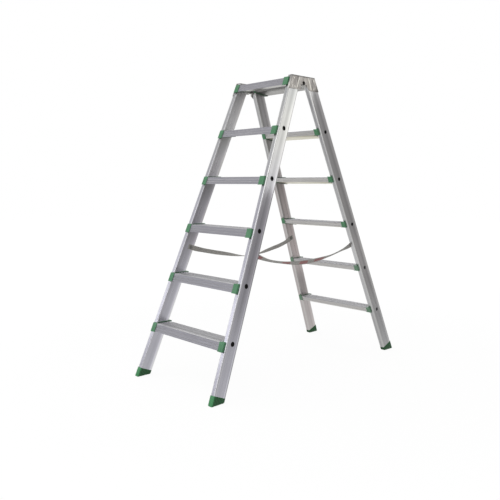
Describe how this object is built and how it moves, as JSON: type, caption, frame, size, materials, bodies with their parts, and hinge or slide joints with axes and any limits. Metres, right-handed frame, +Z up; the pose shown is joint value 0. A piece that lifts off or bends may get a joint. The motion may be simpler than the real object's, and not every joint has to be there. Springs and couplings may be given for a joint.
{
  "type": "folding stepladder",
  "caption": "Double-sided folding aluminium stepladder with wide ribbed treads, moulded green end caps and feet, hinged top and safety straps.",
  "frame": {"origin": "on the floor, midway between the four feet", "axes": "+Z up, +X along the treads to the right of someone facing the front section, +Y from the front section to the rear section"},
  "size_m": [0.565, 1.3334, 1.4365],
  "materials": {
    "stile_metal": "satin",
    "tread_metal": "satin",
    "cap_plastic": "satin",
    "foot_plastic": "satin",
    "hinge_steel": "satin",
    "fastener_steel": "satin",
    "plug_plastic": "matte",
    "webbing": "matte"
  },
  "bodies": {
    "front_section": {"front_hinge_rivets": "fastener_steel", "front_hole_plugs": "plug_plastic", "front_left_foot": "foot_plastic", "front_left_hinge_plate": "hinge_steel", "front_left_stile": "stile_metal", "front_right_foot": "foot_plastic", "front_right_hinge_plate": "hinge_steel", "front_right_stile": "stile_metal", "front_strap_rivets": "fastener_steel", "front_strap_washers": "fastener_steel", "front_tread_1": "tread_metal", "front_tread_1_caps": "cap_plastic", "front_tread_2": "tread_metal", "front_tread_2_caps": "cap_plastic", "front_tread_3": "tread_metal", "front_tread_3_caps": "cap_plastic", "front_tread_4": "tread_metal", "front_tread_4_caps": "cap_plastic", "front_tread_5": "tread_metal", "front_tread_5_caps": "cap_plastic", "front_tread_6": "tread_metal", "front_tread_6_caps": "cap_plastic", "front_tread_bolts": "fastener_steel", "left_strap": "webbing", "pivot_bolts": "fastener_steel", "pivot_nuts": "fastener_steel", "pivot_washers": "fastener_steel", "right_strap": "webbing"},
    "rear_section": {"rear_hinge_rivets": "fastener_steel", "rear_hole_plugs": "plug_plastic", "rear_left_foot": "foot_plastic", "rear_left_hinge_plate": "hinge_steel", "rear_left_stile": "stile_metal", "rear_right_foot": "foot_plastic", "rear_right_hinge_plate": "hinge_steel", "rear_right_stile": "stile_metal", "rear_strap_rivets": "fastener_steel", "rear_strap_washers": "fastener_steel", "rear_tread_1": "tread_metal", "rear_tread_1_caps": "cap_plastic", "rear_tread_2": "tread_metal", "rear_tread_2_caps": "cap_plastic", "rear_tread_3": "tread_metal", "rear_tread_3_caps": "cap_plastic", "rear_tread_4": "tread_metal", "rear_tread_4_caps": "cap_plastic", "rear_tread_5": "tread_metal", "rear_tread_5_caps": "cap_plastic", "rear_tread_6": "tread_metal", "rear_tread_6_caps": "cap_plastic", "rear_tread_bolts": "fastener_steel"}
  },
  "joints": [
    {"name": "section_fold", "type": "hinge", "parent": "front_section", "child": "rear_section", "pos_m": [0, 0, 1.402], "axis": [1, 0, 0], "range_deg": [-44.1, 0], "deforming": ["left_strap", "right_strap"]}
  ]
}
